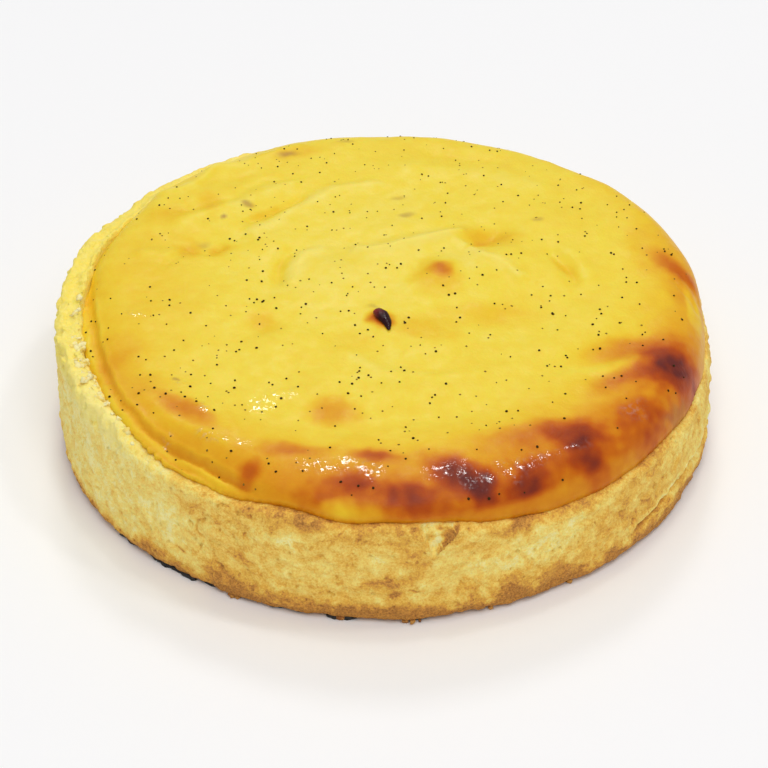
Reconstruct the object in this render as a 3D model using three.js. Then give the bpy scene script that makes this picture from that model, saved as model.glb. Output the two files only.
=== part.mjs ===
// A custard flan tart: a deep shortcrust case, baked in a plain ring, filled to over its rim
// with vanilla custard that has puffed up, browned along one side and settled unevenly.
// Millimetres, +Z up. The origin is the middle of the flat underside. +X is the low side
// that the custard hangs over, -X the high side where the crust's rim lies bare.
// Two solids: the crust, a cup with a craggy rim, and the custard, which fills the cup,
// spreads over the rim and ends in a soft shoulder under an uneven skin.

import * as THREE from "three";
import { mergeVertices } from "three/addons/utils/BufferGeometryUtils.js";
import { ImprovedNoise } from "three/addons/math/ImprovedNoise.js";

// ---------------------------------------------------------------- driving dimensions

const SEGMENTS = 132; // steps round the tart

const CASE_RADIUS = 49; // outside of the crust, a 98 mm ring
const WALL = 4; // thickness of the crust's side
const FLOOR = 3.4; // thickness of the crust's base
const CLEARANCE = 0.35; // between the two solids
const FLAT_RADIUS = 47.6; // flat underside, inside its rounded edge
const FOOT_INSET = 0.35; // of the foot's rounded edge, halfway up it
const FOOT_HEIGHT = 1.9; // where the rounded edge meets the side
const BASE_RING = 26; // ring of points across the flat underside
const FLOOR_RING = 22; // and across the inside of the base
const FLOOR_FILLET = 1.3; // height of the rounded corner inside the case
const SLUMP_HEIGHT = 26; // where the side's bulges would die out
const SEAM_HEIGHT = 5.3; // where the side strip was pressed on to the base disc
const RIM_ROUNDING = 1.6; // height of the rim's rounded outer edge
const CREST_INSET = 1.2; // from the outside of the rim to its highest line
const SLOPE_WIDTH = 1.1; // of the rim's broken-down inner edge
const WAIST = 0.55; // share of the rim's height where the case is straight inside

const CUSTARD_MIDDLE = 21.7; // height of the custard at its centre
const LIP_HEIGHT = 0.7; // thickness of the custard's edge where it lies on the rim
const TOP_RINGS = 20; // rings of points across the custard's top
const SHOULDER_STEPS = [0.05, 0.16, 0.34, 0.6, 1]; // places across the shoulder's width

// Sizes that change round the tart: [angle in degrees from +X towards +Y, millimetres].
const RIM_HEIGHTS = [
  [0, 15.2], [12, 17.4], [40, 17.6], [65, 17.8], [90, 18.2], [107, 19.1], [124, 19.5],
  [140, 19.9], [150, 19.5], [159, 20.4], [180, 20.7], [205, 20.9], [219, 19.9], [231, 17.9],
  [242, 17.3], [252, 18.2], [262, 17.2], [276, 17.2], [288, 15.9], [300, 14.7], [325, 14.9],
  [345, 14.3],
];
const RIM_DROPS = [
  [0, 0.8], [90, 0.8], [140, 1.2], [165, 2.0], [205, 2.1], [222, 1.2], [240, 0.8], [300, 0.8],
];
const WALL_BULGES = [
  [0, 0.3], [30, 0.2], [90, 0], [150, -0.3], [172, -0.6], [190, 0.7], [207, 1.1], [222, 0.8],
  [238, 0.1], [262, 0.6], [300, 0.2], [325, 0.7], [342, 0.7],
];
const CUSTARD_REACHES = [
  [0, 48.4], [20, 48.6], [38, 48.2], [52, 47.4], [70, 46.8], [90, 46.6], [120, 46.2], [150, 46.0],
  [166, 45.4], [180, 45.2], [204, 45.3], [214, 46.6], [222, 47.7], [230, 48.2], [239, 48.1],
  [247, 47.6], [254, 47.5], [263, 48.1], [280, 48.0], [300, 48.3], [325, 48.5], [345, 48.6],
];
const SHELF_WIDTHS = [
  [0, 0.2], [60, 0.2], [120, 0.3], [165, 0.4], [178, 1.3], [188, 1.9], [197, 1.9], [206, 1.3],
  [213, 1.5], [222, 1.9], [230, 2.8], [237, 2.7], [244, 1.5], [251, 0.5], [262, 0.2], [310, 0.2],
];
const SHOULDER_WIDTHS = [
  [0, 5.5], [30, 4.2], [60, 4], [120, 4], [180, 4.5], [220, 5], [260, 7.5], [300, 8], [340, 7.5],
];
const CUSTARD_EDGE_TOPS = [
  [0, 21.6], [28, 22.4], [60, 21.9], [90, 21.8], [135, 21.9], [180, 21.6], [215, 21.5],
  [245, 21.9], [285, 22.2], [325, 21.7],
];
const LIP_FLARES = [
  [0, 0], [120, 0], [148, 0], [159, 0.5], [175, 0.4], [190, 0.2], [203, 0], [300, 0],
];
const SEAM_DEPTHS = [
  [0, 0], [200, 0], [312, 0], [322, 0.4], [332, 0.9], [343, 0.8], [351, 0.2],
];

// Unevenness of a surface: [size of its lumps, how far they stand out].
const WALL_LUMPS = [[9, 0.26], [3.4, 0.14]];
const RIM_LUMPS = [[2.9, 0.3], [5.3, 0.22]];
const SEAM_LUMPS = [[12, 0.5]];
const FOOT_LUMPS = [[5, 0.25]];
const SKIN_LUMPS = [[10, 0.3], [4.5, 0.14]];
const EDGE_LUMPS = [[7, 0.25]];

// Mounds (positive) and hollows (negative) that the bake left in the custard's top.
// x, y: middle; along, across: half lengths; turn: degrees from +X; rise: height.
const TOP_FORMS = [
  { name: "middle plateau", x: 5, y: 5.3, along: 19, across: 10, turn: 8, rise: 0.9 },
  { name: "plateau ridge", x: 7, y: 14, along: 9, across: 1.9, turn: 22, rise: 0.7 },
  { name: "browned nub", x: 8.4, y: 6, along: 2.6, across: 2.2, turn: 80, rise: 1.1 },
  { name: "pit behind the nub", x: 16.2, y: 15, along: 3.4, across: 2.4, turn: 60, rise: -1.5 },
  { name: "pit lip", x: 17.5, y: 9.9, along: 5, across: 1.8, turn: -28, rise: 0.6 },
  { name: "crease right of it", x: 28, y: 7, along: 3.6, across: 1.2, turn: -65, rise: -0.6 },
  { name: "hollow under the plateau", x: 16, y: -6, along: 6.5, across: 2.8, turn: 8, rise: -0.6 },
  { name: "left crease", x: -15.8, y: 6, along: 6.5, across: 1.6, turn: 68, rise: -0.8 },
  { name: "back crease", x: -16, y: 21.5, along: 7.5, across: 1.7, turn: 47, rise: -0.8 },
  { name: "back ridge", x: -11.5, y: 24, along: 8, across: 2, turn: 47, rise: 0.4 },
  { name: "back left fold", x: -23, y: 32.5, along: 9, across: 1.9, turn: 20, rise: -0.8 },
  { name: "left wrinkle", x: -30, y: 13.7, along: 8, across: 2, turn: -12, rise: -0.7 },
  { name: "left hollow", x: -27.5, y: 14.5, along: 3.2, across: 2.4, turn: 30, rise: -0.5 },
  { name: "burst bubble", x: -0.4, y: -6.2, along: 2.6, across: 1.5, turn: -68, rise: 0.7 },
  { name: "round dimple", x: -18.4, y: -8.3, along: 2.6, across: 2.2, turn: -30, rise: -0.5 },
  { name: "front valley", x: 3, y: -30, along: 22, across: 3.2, turn: 8, rise: -0.7 },
  { name: "right valley", x: 31, y: -15.5, along: 11, across: 2.6, turn: 33, rise: -0.8 },
  { name: "right swell", x: 41.5, y: -17.5, along: 6.5, across: 3.2, turn: 52, rise: 0.6 },
  { name: "front swell", x: 11, y: -42, along: 9, across: 2.6, turn: 4, rise: 0.7 },
  { name: "front right swell", x: 27, y: -33.5, along: 5, across: 3, turn: 38, rise: 0.6 },
  { name: "front left swell", x: -22, y: -33, along: 12, across: 3.6, turn: -38, rise: 0.4 },
];

// ---------------------------------------------------------------- helpers

const noise = new ImprovedNoise();
const FULL_TURN = 2 * Math.PI;

// Turns [degrees, value] stations into a smooth function of the angle that closes on itself.
function around(stations) {
  const turns = stations.map(([degrees]) => THREE.MathUtils.degToRad(degrees));
  const values = stations.map(([, value]) => value);
  const last = stations.length;
  const at = (index) => values[(index + last) % last];
  return (angle) => {
    const wanted = THREE.MathUtils.euclideanModulo(angle, FULL_TURN);
    const before = turns.findLastIndex((turn) => turn <= wanted);
    const next = before + 1 < last ? turns[before + 1] : turns[0] + FULL_TURN;
    const share = (wanted - turns[before]) / (next - turns[before]);
    const [a, b, c, d] = [at(before - 1), at(before), at(before + 1), at(before + 2)];
    const bend = share * share * (3 - 2 * share);
    const drift = (share - bend) * ((c - b) * 0.5 + (d - a) * 0.08);
    return THREE.MathUtils.lerp(b, c, bend) + drift;
  };
}

// Unevenness of the dough or skin at a point, in millimetres.
function uneven(kinds, x, y, z) {
  const lump = (size) => 1.7 * noise.noise(x / size + 11.3, y / size + 5.7, z / size + 2.9);
  return kinds.reduce((sum, [size, rise]) => sum + rise * lump(size), 0);
}

// The same on the outside of the case, at an angle and a height.
function unevenSide(kinds, angle, height) {
  return uneven(kinds, CASE_RADIUS * Math.cos(angle), CASE_RADIUS * Math.sin(angle), height);
}

// A soft mound of height 1 with the half lengths and turn of a form.
function mound(form, x, y) {
  const turn = THREE.MathUtils.degToRad(form.turn);
  const dx = x - form.x;
  const dy = y - form.y;
  const along = (dx * Math.cos(turn) + dy * Math.sin(turn)) / form.along;
  const across = (dy * Math.cos(turn) - dx * Math.sin(turn)) / form.across;
  return Math.exp(-(along * along + across * across));
}

// A solid of revolution whose profile changes round the tart: profileAt(angle) gives
// [radius, height] points from the axis, round the outside, and back to the axis.
function turnedSolid(profileAt) {
  const steps = profileAt(0).length;
  const pattern = Array.from({ length: steps }, (_, row) => {
    const onAxis = row === 0 || row === steps - 1;
    return new THREE.Vector2(onAxis ? 0 : 1, row);
  });
  const turned = new THREE.LatheGeometry(pattern, SEGMENTS);
  turned.deleteAttribute("normal");
  turned.deleteAttribute("uv");
  const places = turned.getAttribute("position");
  for (let column = 0; column <= SEGMENTS; column++) {
    const angle = ((column % SEGMENTS) / SEGMENTS) * FULL_TURN;
    profileAt(angle).forEach(([radius, height], row) => {
      const x = radius * Math.cos(angle);
      const y = radius * Math.sin(angle);
      places.setXYZ(column * steps + row, x, y, height);
    });
  }
  return mergeVertices(turned, 1e-4);
}

// ---------------------------------------------------------------- crust

const rimHeight = around(RIM_HEIGHTS);
const rimDrop = around(RIM_DROPS);
const wallBulge = around(WALL_BULGES);
const lipFlare = around(LIP_FLARES);
const seamDepth = around(SEAM_DEPTHS);

// The crust's side bulges and dips, most near its foot, where the dough slumped in the oven.
function wallRadius(angle, height) {
  const slump = wallBulge(angle) * (1 - height / SLUMP_HEIGHT);
  return CASE_RADIUS + slump + unevenSide(WALL_LUMPS, angle, height);
}

// The top of the rim, from its rounded outer edge to its inner edge: [radius, height].
function rimProfile(angle) {
  const top = rimHeight(angle);
  const craggy = unevenSide(RIM_LUMPS, angle, 2 * top);
  const outside = wallRadius(angle, top) + lipFlare(angle);
  const inside = CASE_RADIUS - WALL;
  return [
    [outside, top - RIM_ROUNDING],
    [outside - 0.3, top - 0.6 + 0.6 * craggy],
    [outside - CREST_INSET, top + craggy],
    [inside + SLOPE_WIDTH, top - 0.4 * rimDrop(angle) + 0.8 * craggy],
    [inside, top - rimDrop(angle) + 0.3 * craggy],
  ];
}

function crustProfile(angle) {
  const rim = rimProfile(angle);
  const wallTop = rim[0][1] - 3;
  const seam = SEAM_HEIGHT + unevenSide(SEAM_LUMPS, angle, 0);
  const wall = (height, extra) => [wallRadius(angle, height) + extra, height];
  const between = (share) => THREE.MathUtils.lerp(seam + 1, wallTop, share);
  const inside = CASE_RADIUS - WALL;
  return [
    [0, 0],
    [BASE_RING, 0],
    [FLAT_RADIUS, 0],
    wall(FOOT_HEIGHT / 4, unevenSide(FOOT_LUMPS, angle, 0) - FOOT_INSET),
    wall(FOOT_HEIGHT, 0),
    wall(seam - 0.8, 0),
    wall(seam, -seamDepth(angle)),
    wall(seam + 0.7, seamDepth(angle) * 0.2),
    wall(between(0.45), 0),
    wall(between(1), lipFlare(angle) * 0.3),
    ...rim,
    [inside - 0.1, rimHeight(angle) * WAIST],
    [inside - 0.7, FLOOR + FLOOR_FILLET],
    [inside - 2.2, FLOOR],
    [FLOOR_RING, FLOOR],
    [0, FLOOR],
  ];
}

function buildCrust() {
  const material = new THREE.MeshStandardMaterial({ color: 0xd8b463, roughness: 0.85, metalness: 0 });
  const crust = new THREE.Mesh(turnedSolid(crustProfile), material);
  crust.name = "crust";
  return crust;
}

// ---------------------------------------------------------------- custard

const custardReach = around(CUSTARD_REACHES);
const shelfWidth = around(SHELF_WIDTHS);
const shoulderWidth = around(SHOULDER_WIDTHS);
const custardEdgeTop = around(CUSTARD_EDGE_TOPS);

// Height of the crust's rim under the custard, at a radius between the rim's two edges.
function rimTopAt(angle, radius) {
  const rim = rimProfile(angle);
  const inner = rim.findIndex(([rimRadius]) => rimRadius <= radius);
  if (inner < 0) return rim.at(-1)[1];
  if (inner === 0) return rim[0][1];
  const [outRadius, outHeight] = rim[inner - 1];
  const [inRadius, inHeight] = rim[inner];
  return THREE.MathUtils.mapLinear(radius, inRadius, outRadius, inHeight, outHeight);
}

// The custard's skin, apart from its shoulder.
function custardTop(x, y) {
  const angle = Math.atan2(y, x);
  const outward = Math.min(Math.hypot(x, y) / CASE_RADIUS, 1);
  const level = THREE.MathUtils.lerp(CUSTARD_MIDDLE, custardEdgeTop(angle), outward * outward);
  const forms = TOP_FORMS.reduce((sum, form) => sum + form.rise * mound(form, x, y), 0);
  return level + forms + uneven(SKIN_LUMPS, x, y, 0);
}

function custardProfile(angle) {
  const inside = CASE_RADIUS - WALL;
  const insideRim = inside - CLEARANCE;
  const reach = Math.max(custardReach(angle) + unevenSide(EDGE_LUMPS, angle, 90), inside + 0.2);
  const underLip = (radius) => rimTopAt(angle, radius) + CLEARANCE;
  const crest = wallRadius(angle, rimHeight(angle)) - CREST_INSET;
  const overRim = (radius, margin) => {
    const kept = Math.max(Math.min(radius, reach - margin), insideRim + 0.05);
    return [kept, underLip(kept)];
  };
  const lipBottom = underLip(reach);
  const shelf = lipBottom + LIP_HEIGHT;
  const foot = reach - shelfWidth(angle);
  const width = shoulderWidth(angle);
  const topAt = (radius) => custardTop(radius * Math.cos(angle), radius * Math.sin(angle));
  const shoulder = SHOULDER_STEPS.map((share) => {
    const radius = foot - share * width;
    const roundness = Math.sqrt(1 - (1 - share) * (1 - share));
    return [radius, THREE.MathUtils.lerp(shelf, topAt(radius), roundness)];
  });
  const crown = foot - width;
  const rings = Array.from({ length: TOP_RINGS }, (_, ring) => {
    const radius = crown * Math.pow(1 - (ring + 1) / TOP_RINGS, 1.12);
    return [radius, topAt(radius)];
  });
  return [
    [0, FLOOR + CLEARANCE],
    [FLOOR_RING, FLOOR + CLEARANCE],
    [insideRim - 2.2, FLOOR + CLEARANCE],
    [insideRim - 0.8, FLOOR + FLOOR_FILLET + CLEARANCE],
    [insideRim - 0.2, rimHeight(angle) * WAIST],
    [insideRim, underLip(inside)],
    overRim(inside + SLOPE_WIDTH, 0.3),
    overRim(crest, 0.15),
    [reach, (lipBottom + shelf) / 2],
    [foot + 0.1, shelf],
    ...shoulder,
    ...rings,
  ];
}

function buildCustard() {
  const material = new THREE.MeshStandardMaterial({ color: 0xeed04b, roughness: 0.35, metalness: 0 });
  const custard = new THREE.Mesh(turnedSolid(custardProfile), material);
  custard.name = "custard";
  return custard;
}

// ---------------------------------------------------------------- tart

const tart = new THREE.Group();
tart.add(buildCrust(), buildCustard());

export default tart;
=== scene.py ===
"""A baked custard flan tart: shortcrust case, browned vanilla custard, seeds and crumbs.

Everything is in metres, +Z up, round the middle of the tart's flat underside. The camera looks
along +Y from the front, so +X is the right-hand side of the picture.
"""

import math
import random

import bpy
import numpy as np
from mathutils import Euler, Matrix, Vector, noise
from mathutils.bvhtree import BVHTree


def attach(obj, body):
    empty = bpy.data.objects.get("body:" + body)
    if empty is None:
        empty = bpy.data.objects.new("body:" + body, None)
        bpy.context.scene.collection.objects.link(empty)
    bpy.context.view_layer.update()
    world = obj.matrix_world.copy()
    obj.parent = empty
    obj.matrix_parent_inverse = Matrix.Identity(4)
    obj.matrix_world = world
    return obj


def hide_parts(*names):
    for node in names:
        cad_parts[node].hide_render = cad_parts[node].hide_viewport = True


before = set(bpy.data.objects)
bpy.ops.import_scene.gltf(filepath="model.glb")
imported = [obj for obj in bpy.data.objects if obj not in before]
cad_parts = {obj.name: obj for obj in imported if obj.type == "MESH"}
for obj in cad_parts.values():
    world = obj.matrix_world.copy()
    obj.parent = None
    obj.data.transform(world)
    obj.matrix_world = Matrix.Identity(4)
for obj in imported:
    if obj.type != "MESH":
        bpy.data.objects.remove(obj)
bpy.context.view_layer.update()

MM = 0.001

# ------------------------------------------------ camera
# The tart is seen from the front and above, from about an arm's length, with a long lens.

CAMERA_PLACE = (-0.1 * MM, -340.2 * MM, 265.7 * MM)
CAMERA_ELEVATION = math.radians(37.5)
CAMERA_LENS = 130.7
CAMERA_SENSOR = 36

bpy.ops.object.camera_add(
    location=CAMERA_PLACE, rotation=(math.pi / 2 - CAMERA_ELEVATION, 0, 0)
)
camera = bpy.context.object
camera.name = "camera"
camera.data.lens = CAMERA_LENS
camera.data.sensor_width = CAMERA_SENSOR
camera.data.clip_start = 0.01
camera.data.clip_end = 20
bpy.context.scene.camera = camera

# ------------------------------------------------ light and table
# A light tent: white all round, lit from above the camera by one very broad lamp and faintly
# from overhead. A lamp behind and two bare bulbs put the glints on the moist skin. The table
# top is plain and pale.

TENT_COLOUR = (1.0, 0.995, 0.99)
TENT_STRENGTH = 0.425
LAMPS = {
    # name: (place in mm, size in mm, watts)
    "front_lamp": ((150, -1000, 1900), 1500, 18.5),
    "overhead_lamp": ((-150, 450, 1900), 700, 1.5),
    "bulb_overhead": ((120, 450, 1950), 200, 3),
    "lamp_behind": ((-60, 1500, 1700), 380, 7),
    "bulb_right": ((950, 150, 1900), 200, 3),
}
LAMP_AIM = Vector((0, 0, 10)) * MM
TABLE_WIDTH = 3.0
TABLE_GAP = 0.02 * MM  # keeps the table top apart from the tart's flat underside

world = bpy.data.worlds.new("light_tent")
world.use_nodes = True
tent = world.node_tree.nodes["Background"]
tent.inputs["Color"].default_value = (*TENT_COLOUR, 1)
tent.inputs["Strength"].default_value = TENT_STRENGTH
bpy.context.scene.world = world
bpy.context.scene.view_settings.view_transform = "Standard"

for name, (place, size, watts) in LAMPS.items():
    stand = Vector(place) * MM
    turn = (stand - LAMP_AIM).to_track_quat("Z", "Y").to_euler()
    bpy.ops.object.light_add(type="AREA", location=stand, rotation=turn)
    lamp = bpy.context.object
    lamp.name = name
    lamp.data.size = size * MM
    lamp.data.energy = watts


class Link:
    """A socket of a finish. Sums on it add Math nodes, or Vector Math nodes on a vector."""

    def __init__(self, finish, socket):
        self.finish = finish
        self.socket = socket

    def _maths(self, operation, *terms):
        linked = [t.socket for t in terms if isinstance(t, Link)]
        vector = any(s.type in {"VECTOR", "RGBA"} for s in linked)
        kind = "ShaderNodeVectorMath" if vector else "ShaderNodeMath"
        if vector:
            terms = [t if isinstance(t, (Link, tuple)) else (t, t, t) for t in terms]
        return self.finish.node(kind, {"operation": operation}, dict(enumerate(terms)))

    def __add__(self, other):
        return self._maths("ADD", self, other)

    def __radd__(self, other):
        return self._maths("ADD", other, self)

    def __sub__(self, other):
        return self._maths("SUBTRACT", self, other)

    def __rsub__(self, other):
        return self._maths("SUBTRACT", other, self)

    def __mul__(self, other):
        return self._maths("MULTIPLY", self, other)

    def __rmul__(self, other):
        return self._maths("MULTIPLY", other, self)

    def least(self, other):
        return self._maths("MINIMUM", self, other)

    def length(self):
        settings = {"operation": "LENGTH"}
        return self.finish.node("ShaderNodeVectorMath", settings, {0: self}, "Value")

    def eased(self, start, end, low=0.0, high=1.0):
        """Low up to start, high past end, and a smooth ease between them."""
        limits = {1: start, 2: end, 3: low, 4: high}
        return self.finish.node(
            "ShaderNodeMapRange", {"interpolation_type": "SMOOTHSTEP"}, {0: self, **limits}
        )


class Finish:
    """A material while it is being made, with lengths in millimetres on the object."""

    def __init__(self, name):
        self.material = bpy.data.materials.new(name)
        self.material.use_nodes = True
        self.tree = self.material.node_tree
        self.shader = self.tree.nodes["Principled BSDF"]
        here = self.node("ShaderNodeTexCoord", {}, {}, "Object")
        self.place = here * (1 / MM)

    def node(self, kind, settings, inputs, output=0):
        made = self.tree.nodes.new(kind)
        for key, value in settings.items():
            if key == "stops":
                self._set_stops(made.color_ramp, value)
            else:
                setattr(made, key, value)
        shown = [s for s in made.inputs if s.enabled]
        by_name = {s.name: s for s in reversed(shown)}
        for key, value in inputs.items():
            self._feed(shown[key] if isinstance(key, int) else by_name[key], value)
        if isinstance(output, int):
            return Link(self, [s for s in made.outputs if s.enabled][output])
        return Link(self, made.outputs[output])

    def _set_stops(self, ramp, stops):
        while len(ramp.elements) < len(stops):
            ramp.elements.new(1.0)
        for element, (position, colour) in zip(ramp.elements, stops):
            element.position = position
            element.color = (*colour, 1)

    def _feed(self, socket, value):
        if isinstance(value, Link):
            self.tree.links.new(value.socket, socket)
        elif isinstance(value, tuple) and socket.type == "RGBA":
            socket.default_value = (*value[:3], 1)
        else:
            socket.default_value = value

    def grain(self, size, detail=2.0, roughness=0.5, at=None, output=0):
        """Soft noise from 0 to 1 with lumps of about that size in millimetres."""
        inputs = {"Scale": 1 / size, "Detail": detail, "Roughness": roughness}
        inputs["Vector"] = at or self.place
        return self.node("ShaderNodeTexNoise", {}, inputs, output)

    def pattern(self, name):
        """A number that keep_pattern stored for each point of the piece."""
        return self.node("ShaderNodeAttribute", {"attribute_name": name}, {}, "Fac")

    def mix(self, share, low, high):
        """The colour low where share is 0, and high where it is 1."""
        return self.node(
            "ShaderNodeMix", {"data_type": "RGBA"}, {"Factor": share, "A": low, "B": high}
        )

    def set(self, **values):
        """Values or links for the shader's sockets, with _ for the spaces in their names."""
        for key, value in values.items():
            self._feed(self.shader.inputs[key.replace("_", " ")], value)

    def soften(self, weight, reach, scale):
        """Lets light soak in: how much of it, how far each colour goes, and the scale in mm."""
        self.set(Subsurface_Weight=weight, Subsurface_Radius=reach, Subsurface_Scale=scale * MM)

    def bump(self, height, strength, distance):
        """Small relief on top of what is there, up to that distance in millimetres."""
        inputs = {"Height": height, "Strength": strength, "Distance": distance * MM}
        if self.shader.inputs["Normal"].links:
            inputs["Normal"] = Link(self, self.shader.inputs["Normal"].links[0].from_socket)
        normal = self.node("ShaderNodeBump", {}, inputs)
        self.tree.links.new(normal.socket, self.shader.inputs["Normal"])

    def gloss(self, share, roughness):
        """Lays a clear gloss over part of the finish, on the same bumps."""
        bumped = Link(self, self.shader.inputs["Normal"].links[0].from_socket)
        inputs = {"Color": (1, 1, 1), "Roughness": roughness, "Normal": bumped}
        shine = self.node("ShaderNodeBsdfAnisotropic", {}, inputs)
        under = Link(self, self.shader.outputs["BSDF"])
        both = self.node("ShaderNodeMixShader", {}, {0: share, 1: under, 2: shine})
        surface = self.tree.nodes["Material Output"].inputs["Surface"]
        self.tree.links.new(both.socket, surface)

    def cover(self, piece):
        piece.data.materials.append(self.material)


def colour(red, green, blue):
    """An sRGB colour, from 0 to 255, as the linear numbers that a shader takes."""

    def linear(value):
        share = value / 255
        return share / 12.92 if share <= 0.04045 else ((share + 0.055) / 1.055) ** 2.4

    return tuple(linear(v) for v in (red, green, blue))


table_finish = Finish("table_top")
table_finish.set(Base_Color=colour(248, 248, 249), Roughness=0.6, IOR=1.3)
bpy.ops.mesh.primitive_plane_add(size=TABLE_WIDTH, location=(0, 0, -TABLE_GAP))
table = bpy.context.object
table.name = "table_top"
table_finish.cover(table)

# ------------------------------------------------ crust
# Shortcrust pastry: a strip of dough pressed round a ring on to a disc. It is pale and sandy,
# browner at the foot, with a broken rim on the left, a chip at the front and an open seam
# low on the right.

CRUST_GRID = 0.36
CRUST_INSIDE = 45.2  # radius within which the custard hides the crust
HIDDEN_SHARE = 0.06  # of the faces, where a piece is hidden
WALL_ROUND = math.radians(49)  # millimetres round the wall for each degree
WALL_BEGINS = (46.3, 47.6)  # radius; the second of each pair is where it has fully begun
RIM_BEGINS = (13.0, 16.5)  # height
FOOT_HEIGHT = 1.1

SEAM_AT = (314, 353)  # degrees, from +X towards +Y
SEAM_HEIGHT = 5.3
SEAM_DEPTH = 1.0
SEAM_HALF_HEIGHT = 0.3
SEAM_WAVE = 0.55
SEAM_WAVES_ROUND = 9
SEAM_CLIMB = 0.05  # for each degree past SEAM_LEVEL_AT
SEAM_LEVEL_AT = 335
LOWER_LIP = (-1.2, 0.8)  # height over the seam, half height
LOWER_LIP_RISE = 0.4
UPPER_LIP = (0.9, 0.6)
UPPER_LIP_RISE = 0.15

CHIP_AT = (278.9, 16.4)  # degrees, height
CHIP_DEPTH = 1.1
CHIP_EDGE_RISE = 0.35

BROKEN_AT = [(196, 24, 1.0), (160, 16, 0.4)]  # degrees, half width, how much of the rim broke
RIM_FILL_AT = (128, 196)  # degrees; here the rim leans in and meets the custard
RIM_FILL = 1.8
RIM_FILL_RADIUS = 45.5

# Unevenness of the dough: (how high it stands, the size of its lumps, a seed).
SAND = (0.17, 1.2, 3)
FINE_SAND = (0.13, 0.65, 7)
DOUGH_SWELL = (0.2, 3.2, 21)
CHIP_CRUMB = (0.25, 0.7, 31)
BROKEN_SIDE = (0.2, 0.7, 45)
BROKEN_TOP = (0.4, 1.4, 41)
BROKEN_TOP_FINE = (0.22, 0.65, 47)
RIM_GRAIN = (0.16, 0.9, 51)
RIM_FOLDS = (0.2, 1.3, 55)
PIT_DEPTH = 0.3
FLAKE_RISE = 0.18
STEP_OUT = 0.42  # where a flake of the rim broke away
STEP_UP = 0.5

# Places on the wall: (degrees, height, half width, half height, how much darker it is). Most
#  baked darker; the bands under the custard's lip are browned and also painted shade.
WALL_STAINS = {
    # The four bands under the custard's lip: browned, and darkened as painted shade.
    "browned_and_shaded_under_lip_front_left": (257, 16.8, 3.4, 1.2, 0.3),
    "browned_and_shaded_under_lip_left": (236, 14.6, 3.0, 1.0, 0.16),
    "browned_and_shaded_under_lip_right": (292.4, 14.3, 3.4, 1.1, 0.3),
    "browned_and_shaded_under_lip_far_right": (303, 14.2, 4.0, 1.0, 0.16),
    "left_middle": (245.4, 8.8, 2.2, 1.5, 0.26),
    "left_low": (241, 4.6, 2.8, 1.8, 0.24),
    "left_low_far": (228, 3.6, 3.0, 1.6, 0.2),
    "middle_low": (270.5, 7.4, 2.8, 1.3, 0.26),
    "middle_high": (276, 11.5, 2.4, 1.6, 0.14),
    "right_low": (290.9, 4.4, 3.4, 1.7, 0.2),
    "far_right_low": (301.4, 4.0, 4.0, 1.8, 0.2),
    "seam_right": (322, 8.0, 4.0, 1.6, 0.14),
    "pale_left": (230.4, 11.4, 4.4, 2.8, -0.22),
    "pale_front_left": (251.7, 13.2, 3.0, 1.6, -0.2),
    "pale_low_left": (253, 7.2, 2.6, 1.6, -0.14),
    "pale_middle": (268, 12.0, 2.8, 2.0, -0.14),
    "pale_right_middle": (288.8, 8.9, 4.6, 2.6, -0.24),
    "pale_right": (299.4, 10.4, 5.0, 3.0, -0.26),
    "pale_far_right": (331, 12.0, 5.0, 2.4, -0.12),
    "brown_spot_left": (234.1, 5.4, 0.7, 0.45, 0.5),
    "brown_spot_middle": (271.5, 5.4, 0.9, 0.3, 0.5),
    "brown_spot_right": (274.7, 5.7, 0.45, 0.25, 0.4),
}
SCRATCH_AT = (238.9, 11.2)  # a curled scratch, open to the right
SCRATCH_RADIUS = 1.5
SCRATCH_HALF_WIDTH = 0.22
SCRATCH_DEPTH = 0.35


def deselect_all():
    if bpy.context.object and bpy.context.object.mode != "OBJECT":
        bpy.ops.object.mode_set(mode="OBJECT")
    bpy.ops.object.select_all(action="DESELECT")


def only(piece):
    """Makes a piece the one that the next operators work on."""
    deselect_all()
    piece.select_set(True)
    bpy.context.view_layer.objects.active = piece


def shade_smooth(piece):
    only(piece)
    bpy.ops.object.shade_smooth()


def apply_modifier(piece, kind, **settings):
    only(piece)
    bpy.ops.object.modifier_add(type=kind)
    modifier = piece.modifiers[-1]
    for key, value in settings.items():
        setattr(modifier, key, value)
    bpy.ops.object.modifier_apply(modifier=modifier.name)


def piece_from_node(node, name):
    """A new piece that starts as a CAD node's solid, with its loose triangles joined."""
    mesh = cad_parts[node].data.copy()
    mesh.materials.clear()
    piece = bpy.data.objects.new(name, mesh)
    bpy.context.scene.collection.objects.link(piece)
    only(piece)
    bpy.ops.mesh.customdata_custom_splitnormals_clear()
    bpy.ops.object.mode_set(mode="EDIT")
    bpy.ops.mesh.select_all(action="SELECT")
    bpy.ops.mesh.remove_doubles(threshold=0.001 * MM)
    bpy.ops.mesh.tris_convert_to_quads(face_threshold=1.0, shape_threshold=2.0)
    bpy.ops.object.mode_set(mode="OBJECT")
    return piece


def points_of(piece):
    """A piece's points as rows of x, y and z in millimetres."""
    flat = np.empty(len(piece.data.vertices) * 3)
    piece.data.vertices.foreach_get("co", flat)
    return flat.reshape(-1, 3) / MM


def move_points(piece, points):
    piece.data.vertices.foreach_set("co", (points * MM).ravel())
    piece.data.update()


def polar(points):
    """How far each point is from the tart's axis, and its angle from 0 to 360 degrees."""
    radius = np.hypot(points[:, 0], points[:, 1])
    return radius, np.degrees(np.arctan2(points[:, 1], points[:, 0])) % 360


def push_out(points, distance):
    """Moves points away from the tart's axis, each by its own distance."""
    radius, _ = polar(points)
    points[:, :2] *= (1 + distance / np.maximum(radius, 1))[:, None]


def keep_pattern(piece, name, values):
    """Stores a number for each point of a piece, which its finish reads."""
    attribute = piece.data.attributes.new(name, "FLOAT", "POINT")
    attribute.data.foreach_set("value", np.asarray(values, dtype=np.float32))


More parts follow.
